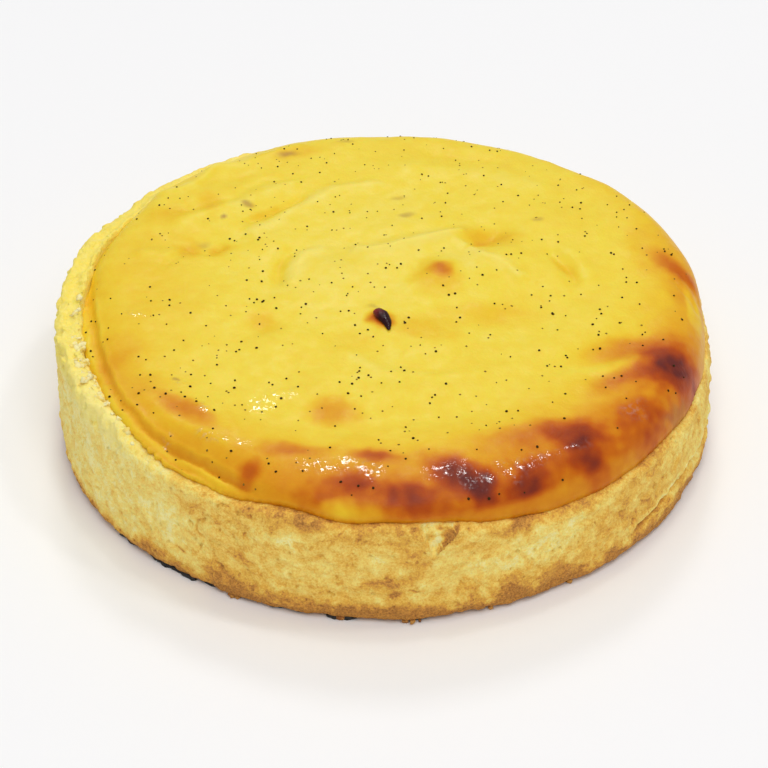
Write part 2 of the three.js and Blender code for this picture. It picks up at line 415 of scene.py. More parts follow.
def thin_out(piece, hidden, share):
    """Leaves only a share of the faces that a function of middle (in mm) and normal picks."""
    count = len(piece.data.polygons)
    middles = np.empty(count * 3)
    normals = np.empty(count * 3)
    piece.data.polygons.foreach_get("center", middles)
    piece.data.polygons.foreach_get("normal", normals)
    picked = hidden(middles.reshape(-1, 3) / MM, normals.reshape(-1, 3))
    only(piece)
    bpy.ops.object.mode_set(mode="EDIT")
    bpy.ops.mesh.select_mode(type="FACE")
    bpy.ops.mesh.select_all(action="DESELECT")
    bpy.ops.object.mode_set(mode="OBJECT")
    piece.data.polygons.foreach_set("select", picked)
    bpy.ops.object.mode_set(mode="EDIT")
    bpy.ops.mesh.decimate(ratio=share)
    bpy.ops.object.mode_set(mode="OBJECT")


def lumps(points, size, seed=0.0):
    """Smooth unevenness, about -1 to 1, at each point, with lumps of that size."""
    shift = Vector((seed, seed * 0.7, seed * 1.3))
    return np.array([noise.noise(Vector(p) / size + shift) for p in points])


def unevenness(points, rise, size, seed):
    """Lumps of that size which stand that high."""
    return rise * lumps(points, size, seed)


def drift(points, size, distance, seed):
    """The points, each moved by up to about that distance, neighbours alike."""
    moves = [lumps(points, size, seed + 13 * axis) for axis in range(3)]
    return points + distance * np.stack(moves, axis=1)


def bell(values, middle, width):
    return np.exp(-(((values - middle) / width) ** 2))


def ramp(values, start, end):
    share = np.clip((values - start) / (end - start), 0, 1)
    return share * share * (3 - 2 * share)


def between(values, start, end, ease):
    """1 between two values, easing to 0 from that far inside each of them."""
    return ramp(values, start, start + ease) * ramp(values, end, end - ease)


def swells(values, places):
    """The sum of soft swells: (middle, half width, height)."""
    return sum(height * bell(values, middle, width) for middle, width, height in places)


def around(stations, angle):
    """A size that changes round the tart, from its stations: (degrees, size)."""
    degrees, sizes = zip(*stations)
    return np.interp(angle, degrees, sizes, period=360)


def wall_patch(angle, height, degrees, middle, wide, high, depth):
    """Depth at the middle of an ellipse on the wall, easing to 0 past its edge."""
    across = (angle - degrees) * WALL_ROUND / wide
    return depth * ramp(np.hypot(across, (height - middle) / high), 1.5, 0.2)


def hidden_crust(middles, normals):
    radius, _ = polar(middles)
    return (radius < CRUST_INSIDE) | (middles[:, 2] < 0.1)


crust = piece_from_node("crust", "baked_crust")
apply_modifier(crust, "SUBSURF", levels=1, render_levels=1)
apply_modifier(crust, "REMESH", mode="VOXEL", voxel_size=CRUST_GRID * MM)
thin_out(crust, hidden_crust, HIDDEN_SHARE)

points = points_of(crust)
radius, angle = polar(points)
height = points[:, 2]
wall = ramp(radius, *WALL_BEGINS) * ramp(height, 0.05, 0.5)
rim = ramp(height, *RIM_BEGINS) * ramp(radius, 44.6, 45.4)
broken = swells(angle, BROKEN_AT) * ramp(height, 16.0, 18.5) * rim

seam_line = SEAM_HEIGHT + SEAM_WAVE * np.sin(np.radians(angle * SEAM_WAVES_ROUND))
seam_line += SEAM_CLIMB * (angle - SEAM_LEVEL_AT)
in_seam = between(angle, *SEAM_AT, 6) * wall
seam = in_seam * bell(height, seam_line, SEAM_HALF_HEIGHT)
lower_lip = in_seam * bell(height, seam_line + LOWER_LIP[0], LOWER_LIP[1])
upper_lip = in_seam * bell(height, seam_line + UPPER_LIP[0], UPPER_LIP[1])

# The chip is a notch with two slanting sides. A flake stands up along the right one.
across = (angle - CHIP_AT[0]) * WALL_ROUND
drop = height - CHIP_AT[1]
left_side = across + 0.42 * drop
right_side = 0.86 * drop - across
chip = ramp(left_side, -2.8, -2.3) * ramp(right_side, -2.9, -2.4) * wall
chip_edge = bell(right_side, -2.75, 0.22) * ramp(across, -0.8, 0.2) * ramp(drop, -4.2, -3.4) * wall

to_scratch = np.hypot((angle - SCRATCH_AT[0]) * WALL_ROUND, height - SCRATCH_AT[1])
scratch = bell(to_scratch, SCRATCH_RADIUS, SCRATCH_HALF_WIDTH)
scratch *= ramp(angle, SCRATCH_AT[0] + 0.6, SCRATCH_AT[0] - 0.4)

sandy = sum(unevenness(points, *lump) for lump in (SAND, FINE_SAND, DOUGH_SWELL))
pits = -PIT_DEPTH * ramp(lumps(points, 0.8, 12), 0.48, 0.66)
flakes = FLAKE_RISE * ramp(lumps(points * (1, 1, 1.8), 2.3, 91), 0.05, 0.16)
steps = ramp(lumps(points, 1.9, 43), -0.1, 0.12) - 0.5
outward = wall * (sandy + pits + flakes - SCRATCH_DEPTH * scratch)
outward += -SEAM_DEPTH * seam + LOWER_LIP_RISE * lower_lip + UPPER_LIP_RISE * upper_lip
outward += chip * (unevenness(points, *CHIP_CRUMB) - CHIP_DEPTH) + CHIP_EDGE_RISE * chip_edge
outward += broken * (STEP_OUT * steps + unevenness(points, *BROKEN_SIDE))

broken_top = unevenness(points, *BROKEN_TOP) + unevenness(points, *BROKEN_TOP_FINE)
along_rim = np.stack([angle * WALL_ROUND / 4, radius, height], axis=1)
filled = between(angle, *RIM_FILL_AT, 14) * ramp(height, 16.5, 18)
upward = broken * (STEP_UP * steps + broken_top)
upward += rim * (unevenness(points, *RIM_GRAIN) + unevenness(along_rim, *RIM_FOLDS))
upward += filled * bell(radius, RIM_FILL_RADIUS, 0.9) * RIM_FILL
push_out(points, outward)
points[:, 2] = np.maximum(points[:, 2] + upward, 0)
move_points(crust, points)
shade_smooth(crust)

# How dark each side of the wall baked, from 0 to 1, and where custard soaked into the rim.
WALL_BAKE = [(0, 0.38), (90, 0.38), (170, 0.26), (200, 0.18), (222, 0.26), (245, 0.47),
             (262, 0.47), (285, 0.44), (300, 0.5), (322, 0.54), (335, 0.44), (345, 0.38)]
SOAKED_AT = [(100, 0.3), (135, 0.9), (150, 1.0), (180, 1.0), (196, 0.85), (208, 0.6),
             (225, 0.35), (245, 0)]
FOOT_BAKE_AT = [(271, 9, 0.24), (303, 14, -0.16)]  # degrees, half width, how much darker

# How much darker or paler these places are than the wall round them.
FOOT_BAKE = 0.56
FOOT_EDGE_BAKE = 0.26
RIM_BAKE = 0.1
# Painted shade: the seam's crack, the pits and the scratch are darkened where they sink in.
SEAM_SHADE = 0.5
PIT_SHADE = 0.2
SCRATCH_SHADE = 0.3
BROKEN_PALE = 0.4
LIP_PALE = 0.3
CHIP_BAKE = 0.22
CHIP_CORNER_BAKE = 0.55
CHIP_EDGE_BAKE = 0.9

at_foot = ramp(height + unevenness(points, 1.4, 4, 71), 4.6, 0.6)
at_rim = ramp(height + unevenness(points, 1.2, 3, 75), *RIM_BEGINS) * ramp(angle, 236, 250)
bake = around(WALL_BAKE, angle) + FOOT_BAKE * at_foot + RIM_BAKE * at_rim
uneven = drift(np.stack([angle * WALL_ROUND, height, 0 * height], axis=1), 2.6, 1.1, 87)
for stain in WALL_STAINS.values():
    bake += wall_patch(uneven[:, 0] / WALL_ROUND, uneven[:, 1], *stain) * wall
bake -= BROKEN_PALE * broken + LIP_PALE * upper_lip
# Painted shade in the seam, the pits and the scratch.
bake += SEAM_SHADE * seam + (PIT_SHADE * -pits / PIT_DEPTH + SCRATCH_SHADE * scratch) * wall
bake += FOOT_EDGE_BAKE * bell(height, 0.3, FOOT_HEIGHT) * ramp(lumps(points, 3.1, 83), -0.3, 0.2)
bake += swells(angle, FOOT_BAKE_AT) * ramp(height, 4.5, 1.5)
corner = ramp(drop + 0.5 * across, -1.8, 0.2) * ramp(lumps(points, 1.0, 33), -0.3, 0.2)
chip_bake = CHIP_BAKE + CHIP_CORNER_BAKE * corner + unevenness(points, 0.4, 0.9, 35)
bake += chip * (chip_bake - bake) + CHIP_EDGE_BAKE * chip_edge
keep_pattern(crust, "bake", bake)
keep_pattern(crust, "soaked", around(SOAKED_AT, angle) * rim * ramp(height, 15.8, 18.4))

# Colours of the crust as it bakes, from pale to brown, and of the rim that custard soaked.
CRUST_STOPS = [
    (0.0, colour(255, 242, 166)),
    (0.2, colour(253, 229, 128)),
    (0.4, colour(246, 207, 102)),
    (0.58, colour(234, 181, 74)),
    (0.74, colour(214, 152, 70)),
    (0.88, colour(186, 129, 60)),
    (1.0, colour(152, 96, 46)),
]
CRUST_SOAKED = colour(252, 228, 98)

crust_finish = Finish("baked_crust")
place = crust_finish.place + (crust_finish.grain(7, 3, output="Color") - 0.5) * 4.0
patches = crust_finish.grain(4.2, 3, 0.6, at=place)
flecks = crust_finish.grain(1.5, 3, 0.65).eased(0.5, 0.62)
amber_flecks = crust_finish.grain(1.9, 3, 0.65, at=place * (1.0, 1.0, 1.3)).eased(0.54, 0.66)
speckle = crust_finish.grain(0.75, 2, 0.6)
grit = crust_finish.grain(0.3, 2, 0.7)
streaks = crust_finish.grain(1.7, 2, 0.55, at=place * (1.0, 1.0, 1.7))
tone = crust_finish.pattern("bake") + (patches - 0.5) * 0.8 + (streaks - 0.5) * 0.3
tone = tone + (speckle - 0.5) * 0.5 - flecks * 0.2 + amber_flecks * 0.16
tone = tone.least(0.86) + (grit - 0.5) * 0.7
skin = crust_finish.node("ShaderNodeValToRGB", {"stops": CRUST_STOPS}, {0: tone})
soaked = crust_finish.pattern("soaked") * (speckle + 0.35).least(1.0)
skin = crust_finish.mix(soaked, skin, CRUST_SOAKED)
crust_finish.set(Base_Color=skin, Roughness=0.78, IOR=1.3)
crust_finish.soften(0.14, (1.0, 0.6, 0.25), 0.8)
crust_finish.bump(crust_finish.grain(0.5, 3, 0.7), 0.7, 0.2)
crust_finish.bump(flecks, 0.5, 0.15)
crust_finish.bump(grit, 0.6, 0.1)
crust_finish.cover(crust)
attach(crust, "root")
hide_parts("crust")

# ------------------------------------------------ custard
# Set vanilla custard under a thin moist skin. It puffed in the oven, browned on the side
# nearest the heat, and settled in soft folds round a plateau in the middle. On the left it
# shrank from the rim and left a narrow ledge of its own, soaked in butter.

CUSTARD_GRID = 0.36
CUSTARD_SINK = 0.55  # how far its underside reaches into the crust, so that no gap shows
DOME_FOOT = [(170, 45.3), (177, 44.3), (187, 43.4), (196, 43.4), (204, 43.9), (213, 45.0),
             (224, 45.8), (231, 45.4), (237, 45.4), (244, 46.3), (252, 47.3)]
DOME_FOOT_WANDER = [(0.25, 2.4, 77), (0.18, 1.1, 78)]  # as the unevenness of the dough
DOME_LIP = (-0.6, 0.36)  # distance from the dome's foot, half width
DOME_LIP_RISE = 0.18
LEDGE_AT = (172, 250)  # degrees
LEDGE_WAVES = (0.3, 1.0, 79)
LEDGE_GRAIN = (0.12, 0.8, 80)
LEDGE_REACH = 0.7  # how much further out the ledge goes at the back of the left side
CREASES = [(0.15, 0.34, 1.0), (1.45, 0.26, 0.6)]  # from the dome's foot, half width, share
GROOVE_DEPTH = 0.4
SKIN_SWELL = (0.1, 3.6, 61)
SKIN_RIPPLE = (0.05, 1.6, 67)

# Folds of the skin: half width, rise (or fall), and a few points of the line that they follow.
FOLDS = {
    "back_left_lip": (0.9, 0.38, [(-37, 28), (-32.5, 28), (-29.5, 31.5), (-27, 35)]),
    "back_left_band": (1.0, 0.3, [(-28, 35.5), (-22.5, 36), (-19, 38.5), (-14, 41)]),
    "back_left_valley": (1.2, -0.3, [(-31, 22.5), (-24, 26.5), (-19, 31), (-14, 32)]),
    "inner_back_band": (1.3, 0.34, [(-31.5, 19.5), (-23.5, 23.5), (-19, 27.5), (-15, 29.5)]),
    "long_ridge": (1.3, 0.48, [(-20, 16.5), (-15.5, 21.5), (-11, 25.8), (-8, 28.2), (-2, 29.2)]),
    "long_crease": (0.9, -0.42, [(-20.8, 19.6), (-16.7, 22.8), (-13.4, 26)]),
    "left_arc": (1.0, -0.32, [(-16, 3.5), (-16.3, 8), (-15.2, 10.5), (-13, 12)]),
    "left_arc_ridge": (1.2, 0.32, [(-13.8, 3), (-14, 7.5), (-12.4, 10), (-10, 11)]),
    "left_bump": (1.4, 0.3, [(-37, 10.2), (-33, 11)]),
    "left_wrinkle": (0.9, -0.3, [(-33.5, 8.5), (-29.8, 11.8), (-26.5, 10.8), (-24.8, 13)]),
    "plateau_edge": (1.0, 0.5, [(-4.5, 11), (1, 10.8), (5, 12.7), (9, 14.6), (12, 15.8)]),
    "plateau_foot": (1.4, -0.3, [(-4, 14), (1.5, 14), (5.5, 15.8), (9, 17.4)]),
    "pit_lip": (1.0, 0.42, [(11.5, 12.8), (15.8, 8.8), (19, 6.2), (20.5, 4)]),
    "right_crease": (0.9, -0.44, [(26, 10), (27.6, 6.8), (28.8, 3)]),
    "right_crease_ridge": (1.2, 0.22, [(28.2, 10.5), (30, 7), (31, 3.5)]),
    "front_curl": (1.2, 0.22, [(-6, -14.4), (-1, -19.4), (7, -20.6), (13, -20)]),
    "right_ridge": (1.3, 0.26, [(25.5, -20.4), (29.2, -18.4), (32.5, -18.2), (37, -16.2)]),
    "edge_streak_a": (0.5, -0.28, [(43.6, 4), (45.4, 1.2), (46.6, -1.5)]),
    "edge_streak_b": (0.5, -0.28, [(44.6, 6.5), (46.4, 3.4), (47.3, 1)]),
    "back_dent": (1.6, -0.25, [(8, 38), (18, 36.5)]),
    "back_swell": (2.0, 0.25, [(4, 34), (16, 32.5), (24, 29)]),
    "front_left_fold": (1.0, 0.22, [(-34, -25), (-29, -31.5), (-22, -36)]),
}


def distance_to_line(points, line):
    """How far each point is, on the plan, from a line through a few places."""
    nearest = np.full(len(points), np.inf)
    for start, end in zip(np.array(line[:-1]), np.array(line[1:])):
        along = end - start
        share = np.clip((points[:, :2] - start) @ along / (along @ along), 0, 1)
        gap = points[:, :2] - start - share[:, None] * along
        nearest = np.minimum(nearest, np.hypot(gap[:, 0], gap[:, 1]))
    return nearest


def hidden_custard(middles, normals):
    radius, _ = polar(middles)
    return (middles[:, 2] < 12) | ((normals[:, 2] < 0.2) & (radius < 45.4))


custard = piece_from_node("custard", "baked_custard")
apply_modifier(custard, "SUBSURF", levels=1, render_levels=1)
apply_modifier(custard, "REMESH", mode="VOXEL", voxel_size=CUSTARD_GRID * MM)
apply_modifier(custard, "SMOOTH", factor=0.5, iterations=3)
thin_out(custard, hidden_custard, HIDDEN_SHARE)

points = points_of(custard)
normals = np.empty(len(points) * 3)
custard.data.vertex_normals.foreach_get("vector", normals)
steepness = normals.reshape(-1, 3)[:, 2]
downward = ramp(steepness, -0.1, -0.5)
radius, angle = polar(points)
skin_share = ramp(points[:, 2], 14.5, 17) * (1 - downward)

relief = unevenness(points, *SKIN_SWELL) + unevenness(points, *SKIN_RIPPLE)
folded = drift(points, 4.5, 0.7, 17)
# pale gathers how far the folds rise; their crests get a painted sheen from it below.
pale = np.zeros(len(points))
for half_width, rise, line in FOLDS.values():
    fold = rise * bell(distance_to_line(folded, line), 0, half_width)
    relief += fold
    pale += np.maximum(fold, 0)

in_ledge = between(angle, *LEDGE_AT, 10)
from_dome = radius - around(DOME_FOOT, angle)
for wander in DOME_FOOT_WANDER:
    from_dome += unevenness(points, *wander)
groove = in_ledge * swells(from_dome, CREASES)
ledge = in_ledge * ramp(from_dome, 0.0, 0.5)
dome_lip = in_ledge * bell(from_dome, *DOME_LIP)
along_ledge = np.stack([angle * WALL_ROUND / 5, radius, 0 * radius], axis=1)
relief += -GROOVE_DEPTH * groove + DOME_LIP_RISE * dome_lip
relief += ledge * (unevenness(along_ledge, *LEDGE_WAVES) + unevenness(points, *LEDGE_GRAIN))
points[:, 2] += skin_share * relief - CUSTARD_SINK * downward * ramp(points[:, 2], 11, 13)
push_out(points, LEDGE_REACH * ledge * ramp(angle, 226, 214))
move_points(custard, points)
shade_smooth(custard)

# Patches that the oven browned: (x, y, half length, half width, degrees, depth of colour).
BROWNED = {
    "right_burn": (41.2, -17.0, 5.2, 3.8, 34, 0.38),
    "right_burn_arm": (35.4, -13.2, 7.0, 2.9, 16, 0.32),
    "right_burn_lower_arm": (34.0, -20.6, 5.6, 1.8, 32, 0.26),
    # A painted sheen, paler, along the ridge right of the burn.
    "right_ridge_sheen": (31.5, -17.6, 6.0, 1.4, 22, -0.04),
    "below_right_burn": (39.4, -22.6, 2.6, 1.8, 30, -0.12),
    "right_front_red": (37.2, -27.6, 3.4, 4.2, -10, 0.07),
    "front_right_burn": (26.6, -32.9, 4.2, 2.6, 6, 0.31),
    "front_right_low": (28.2, -36.6, 3.8, 2.4, -20, 0.26),
    "front_edge_burn": (19.8, -42.2, 3.7, 2.1, 50, 0.3),
    "front_burn": (10.2, -41.8, 5.6, 2.7, -28, 0.45),
    "front_red": (3.0, -46.2, 4.2, 1.8, 6, 0.2),
    "front_middle": (-1.4, -38.9, 3.8, 1.8, -6, 0.42),
    "inner_front_right": (19.5, -34.2, 6.5, 2.6, 18, 0.2),
    "front_middle_low": (-5.0, -43.6, 3.6, 1.6, 0, 0.2),
    "inner_front_left": (-12.6, -37.4, 4.8, 1.8, -4, 0.28),
    "inner_front": (-7.2, -28.4, 3.6, 3.0, -10, 0.31),
    "front_left": (-18.6, -40.4, 2.0, 1.6, 20, 0.28),
    "left_streak": (-28.2, -28.0, 5.2, 2.0, -42, 0.32),
    "left_amber": (-38.2, -14.5, 5.0, 3.6, 60, 0.1),
    "left_amber_low": (-33.0, -24.0, 5.6, 3.4, -50, 0.08),
    "left_warmth": (-42.0, -3.0, 15.0, 28.0, 0, 0.07),
    "right_edge": (44.4, 6.7, 5.2, 2.0, 130, 0.33),
    "right_edge_low": (44.2, 0.8, 2.6, 1.8, 100, 0.1),
    "right_edge_pale": (46.0, -1.0, 5.4, 0.6, 96, -0.16),
    "right_edge_pale_outer": (47.4, -4.6, 7.0, 0.7, 92, -0.2),
    "right_back": (40.5, 11.0, 6.5, 4.0, 108, 0.1),
    "nub": (8.5, 4.6, 1.9, 1.6, 0, 0.36),
    "nub_glow": (7.8, 3.2, 4.4, 4.2, 0, 0.16),
    "bubble_halo": (-0.8, -6.9, 2.1, 1.7, -58, 0.66),
    "bubble_glow": (4.6, -8.8, 6.4, 3.0, -12, 0.13),
    "bubble_glow_left": (-5.0, -12.5, 4.4, 3.2, 0, 0.06),
    "pit": (15.9, 14.9, 4.2, 3.0, -15, 0.2),
    "pit_line": (14.0, 12.9, 2.2, 0.8, 50, 0.16),
    "left_dimple": (-18.1, -7.3, 2.6, 2.1, -30, 0.13),
    "below_plateau": (15.5, -5.2, 8.4, 2.8, 4, 0.12),
    "back_left_a": (-27.1, 24.0, 1.7, 2.6, 0, 0.12),
    "back_left_b": (-33.5, 21.5, 3.2, 2.4, 30, 0.12),
    "back_left_c": (-25.4, 12.1, 2.1, 1.6, 0, 0.15),
    "back_left_d": (-29.9, 12.2, 1.6, 2.6, 0, 0.14),
    "back_edge": (-14.0, 39.5, 6.0, 1.8, 12, 0.12),
    "long_crease": (-17.2, 22.4, 5.2, 1.3, 42, 0.12),
    "left_arc": (-15.8, 7.4, 4.6, 1.2, 78, 0.1),
    "right_crease": (27.6, 6.4, 3.6, 1.0, -65, 0.12),
    "front_lobe": (-5.0, -47.8, 5.0, 1.6, 0, -0.34),
}
YELLOW_MIDDLE = (-3.0, 8.0)  # of the part that stayed yellow
YELLOW_EDGE = (38, 56)  # distances from there between which the skin turns amber
PALEST = 0.05
PLATEAU_WARMTH = 0.05
EDGE_WARMTH = 0.36
RIDGE_SHEEN = 0.14
FRONT_BAND = [(-8, -45.5), (3, -46), (14, -44), (24, -39), (31.5, -33), (38.5, -25.5), (43.5, -14)]
FRONT_BAND_WIDTH = 4.6
FRONT_BAND_BROWN = 0.22
BAND_BLOTCHES = [(0.3, 3.4, 101), (0.45, 1.5, 103)]  # as the unevenness of the dough
BAND_FOOT_BROWN = 0.47
LIP_BROWN = 0.16
LEFT_SIDE_BROWN = 0.12
LEDGE_BROWN = 0.2


def patch(points, x, y, along, across, turn, depth):
    """Depth at the middle of an ellipse on the plan, easing to 0 past its edge."""
    angle = math.radians(turn)
    dx = points[:, 0] - x
    dy = points[:, 1] - y
    share_along = (dx * math.cos(angle) + dy * math.sin(angle)) / along
    share_across = (dy * math.cos(angle) - dx * math.sin(angle)) / across
    return depth * ramp(np.hypot(share_along, share_across), 1.5, 0.2)


def strongest(points, places):
    """At each point, the depth of the deepest patch over it."""
    return np.max([patch(points, *place) for place in places.values()], axis=0)


spots = drift(drift(points * (1, 1, 0), 5.0, 1.1, 96.2), 1.5, 0.45, 29)
from_middle = np.hypot(spots[:, 0] - YELLOW_MIDDLE[0], spots[:, 1] - YELLOW_MIDDLE[1])
edge = ramp(from_middle, *YELLOW_EDGE)
browning = PALEST + PLATEAU_WARMTH * ramp(from_middle, 8, 34) + EDGE_WARMTH * edge
for place in BROWNED.values():
    browning += patch(spots, *place)
blotches = 0.85 + sum(unevenness(points, *blotch) for blotch in BAND_BLOTCHES)
in_band = bell(distance_to_line(spots, FRONT_BAND), 0, FRONT_BAND_WIDTH)
browning += FRONT_BAND_BROWN * in_band * blotches
# Fold crests are painted paler, as a sheen.
browning -= RIDGE_SHEEN * np.minimum(pale, 0.5)
lip = 0.75 * ramp(steepness, 0.62, 0.3)  # the side of the lip was shaded and stayed yellower
browning += lip * (LIP_BROWN + 0.26 * edge - browning) * ramp(in_band, 0.9, 0.3)
low = ramp(points[:, 2], 18.6, 17.0) * ramp(in_band, 0.05, 0.3) * ramp(angle, 316, 298)
browning += 0.85 * low * (BAND_FOOT_BROWN - browning)
left_side = ramp(angle, 118, 135) * ramp(angle, 200, 184) * ramp(steepness, 0.8, 0.5)
browning += left_side * (LEFT_SIDE_BROWN - browning)
ledge_brown = LEDGE_BROWN + 0.07 * ramp(angle, 205, 235) + unevenness(along_ledge, 0.1, 1.6, 105)
# The groove at the dome's foot is darkened a little as painted shade.
browning += ledge * (ledge_brown - browning) + 0.07 * groove - 0.05 * dome_lip
keep_pattern(custard, "browning", browning)

# Small grey-brown marks: (x, y, half length, half width, degrees, strength).
SMUDGES = {
    "back_left_dark": (-21.7, 23.6, 1.0, 0.6, 0, 0.6),
    "back_left_spot": (-25.0, 20.5, 0.6, 0.5, 0, 0.7),
    "back_middle": (3.6, 20.8, 1.3, 0.6, 10, 0.45),
    "left_front": (-30.4, -20.9, 0.6, 0.5, -20, 0.6),
    "back_edge": (-15.4, 38.6, 2.0, 0.8, 12, 0.55),
    "back_edge_right": (-6.3, 42.1, 1.4, 0.6, 5, 0.35),
    "right_back": (24.0, 19.3, 1.1, 0.6, 0, 0.4),
    "left_hollow": (-28.2, 14.1, 1.2, 0.8, 0, 0.28),
    "by_the_bubble": (-2.0, -3.7, 1.0, 0.5, -20, 0.35),
    "right_line": (42.6, -22.6, 4.0, 0.4, 60, 0.4),
    "behind": (2.4, 26.0, 1.2, 0.5, 0, 0.3),
}
keep_pattern(custard, "smudged", strongest(spots, SMUDGES))

# Colours of the skin as it browns, from pale to burnt.
BAKE_STOPS = [
    (0.0, colour(243, 222, 100)),
    (0.08, colour(240, 214, 66)),
    (0.2, colour(236, 196, 42)),
    (0.34, colour(229, 170, 30)),
    (0.48, colour(220, 145, 18)),
    (0.62, colour(202, 106, 8)),
    (0.75, colour(178, 74, 8)),
    (0.88, colour(146, 54, 20)),
    (1.0, colour(104, 38, 32)),
]
SMUDGE = colour(152, 100, 62)

# Places where the moist skin stands in fine beads, which glint, as the smudges are given.
BEADED = {
    "left_streak": (-25.8, -27.6, 1.1, 1.2, -20, 1.0),
    "left_middle": (-18.4, -26.9, 1.4, 1.6, 0, 0.6),
    "left_middle_spray": (-16.6, -24.9, 1.2, 2.4, 0, 0.5),
    "left_middle_dab": (-13.7, -24.2, 0.8, 1.0, 0, 0.7),
    "left_front": (-25.2, -34.0, 1.2, 1.4, 0, 1.0),
    "left_front_trail": (-22.6, -35.0, 3.2, 0.8, -10, 0.6),
    "left_front_far": (-30.8, -33.2, 1.0, 0.9, 0, 0.9),
    "front_left_trail": (-9.4, -40.9, 2.6, 1.2, 0, 0.7),
    "front_left": (-5.8, -40.7, 1.5, 1.6, 0, 1.0),
    "front_middle": (-2.4, -41.8, 2.0, 1.4, 0, 1.0),
    "burn_streaks": (8.0, -41.9, 2.4, 1.3, 0, 0.45),
    "burn": (11.6, -42.1, 1.5, 2.0, 0, 0.8),
    "burn_right": (14.0, -42.6, 1.2, 1.2, 0, 0.8),
    "front_right": (16.4, -40.3, 1.6, 0.9, 0, 1.0),
    "front_right_middle": (18.9, -39.8, 1.5, 1.3, 10, 1.0),
    "front_right_low": (17.8, -41.7, 1.3, 0.9, 0, 0.8),
    "right": (21.8, -38.3, 1.4, 0.9, 20, 1.0),
    "right_further": (23.6, -37.2, 1.2, 0.8, 25, 0.8),
    "right_burn_edge": (27.1, -35.2, 2.2, 0.7, 28, 0.8),
    "far_right": (35.6, -26.6, 2.4, 1.4, 45, 1.0),
    "left_back": (-37.2, -4.6, 1.5, 0.8, -30, 0.9),
    "by_left_smudge": (-29.4, -21.6, 0.9, 0.7, 0, 0.7),
}
BEAD_SIZE = 0.65
BEAD_RISE = 0.16
BEAD_GLOSS = 0.18
BEAD_ROUGHNESS = 0.06
keep_pattern(custard, "beaded", strongest(spots, BEADED))

custard_finish = Finish("baked_custard")
mottle = custard_finish.grain(2.4, 3, 0.6)
cloud = custard_finish.grain(9, 2, 0.5)
browning = custard_finish.pattern("browning") + (mottle - 0.5) * 0.14 + (cloud - 0.5) * 0.1
skin = custard_finish.node("ShaderNodeValToRGB", {"stops": BAKE_STOPS}, {0: browning})
skin = custard_finish.mix(custard_finish.pattern("smudged"), skin, SMUDGE)
beads = custard_finish.pattern("beaded")
moist = custard_finish.grain(2.2, 2).eased(0.35, 0.65, 0.36, 0.5)
custard_finish.set(Base_Color=skin, IOR=1.26, Roughness=moist)
custard_finish.soften(0.25, (1.0, 0.55, 0.12), 1.2)
custard_finish.bump(custard_finish.grain(0.6, 2, 0.6), 0.5, 0.1)
custard_finish.bump(custard_finish.grain(BEAD_SIZE, 1, 0.4) * beads, 1.0, BEAD_RISE)
wet = custard_finish.grain(0.8, 2, 0.6).eased(0.48, 0.6)
custard_finish.gloss(beads * wet * BEAD_GLOSS, BEAD_ROUGHNESS)
custard_finish.cover(custard)
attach(custard, "root")
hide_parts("custard")

# ------------------------------------------------ burnt bubble
# A bubble of custard that burst in the oven and burnt: a glossy black comma of sugar, a little
# proud of the skin that it grew from. It is a swept round section, flattened and roughened.

BUBBLE_PATH = [  # x, y and half thickness, from its head to the tip of its tail
    (-1.1, -5.4, 0.8), (-0.45, -6.6, 1.05), (0.3, -8.1, 0.76), (0.65, -9.9, 0.22)
]
BUBBLE_HEAD = (-1.7, -5.6, 22.0)  # where the burnt skin is thin and shows red
BUBBLE_GRID = 0.12
BUBBLE_PROUD = 0.1  # how far its middle stands over the skin
BUBBLE_FLATNESS = 0.62
BUBBLE_BLACK = colour(40, 5, 14)
BUBBLE_RED = colour(156, 44, 44)

custard_surface = BVHTree.FromObject(custard, bpy.context.evaluated_depsgraph_get())


def on_surface(surface, x, y):
    """The point of a surface below a place in millimetres and its normal, or None past it."""
    point, normal, _, _ = surface.ray_cast(Vector((x, y, 60)) * MM, Vector((0, 0, -1)))
    return (point / MM, normal) if point else None


deselect_all()
bpy.ops.curve.primitive_bezier_curve_add()
bubble = bpy.context.object
bubble.name = "burnt_bubble"
spline = bubble.data.splines[0]
spline.bezier_points.add(len(BUBBLE_PATH) - len(spline.bezier_points))
for point, (x, y, thickness) in zip(spline.bezier_points, BUBBLE_PATH):
    skin_point, _ = on_surface(custard_surface, x, y)
    point.co = (skin_point + Vector((0, 0, BUBBLE_PROUD))) * MM
    point.radius = thickness
    point.handle_left_type = point.handle_right_type = "AUTO"
bubble.data.bevel_depth = 1 * MM
bubble.data.bevel_resolution = 6
bubble.data.use_fill_caps = True
bpy.ops.object.convert(target="MESH")
apply_modifier(bubble, "REMESH", mode="VOXEL", voxel_size=BUBBLE_GRID * MM)
apply_modifier(bubble, "SMOOTH", factor=0.5, iterations=8)
points = points_of(bubble)
middle = points[:, 2].mean()
points[:, 2] = middle + BUBBLE_FLATNESS * (points[:, 2] - middle)
points[:, 2] += unevenness(points, 0.1, 0.9, 5)
move_points(bubble, points)
shade_smooth(bubble)

bubble_finish = Finish("burnt_bubble")
glow = (bubble_finish.place - BUBBLE_HEAD).length().eased(0.5, 2.6, 1.0, 0.0)
glow = glow * bubble_finish.grain(0.9, 2).eased(0.2, 0.7, 0.4, 1.0)
bubble_finish.set(Base_Color=bubble_finish.mix(glow, BUBBLE_BLACK, BUBBLE_RED), IOR=1.3)
bubble_finish.set(Roughness=bubble_finish.grain(0.6).eased(0.3, 0.7, 0.2, 0.4))
bubble_finish.bump(bubble_finish.grain(0.5, 2), 0.4, 0.12)
bubble_finish.cover(bubble)
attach(bubble, "root")

# ------------------------------------------------ vanilla seeds
# Ground vanilla pod, stirred into the custard. Seeds up to half a millimetre across rose to the
# top: black ones stand out of the skin, and paler ones show from just under it.

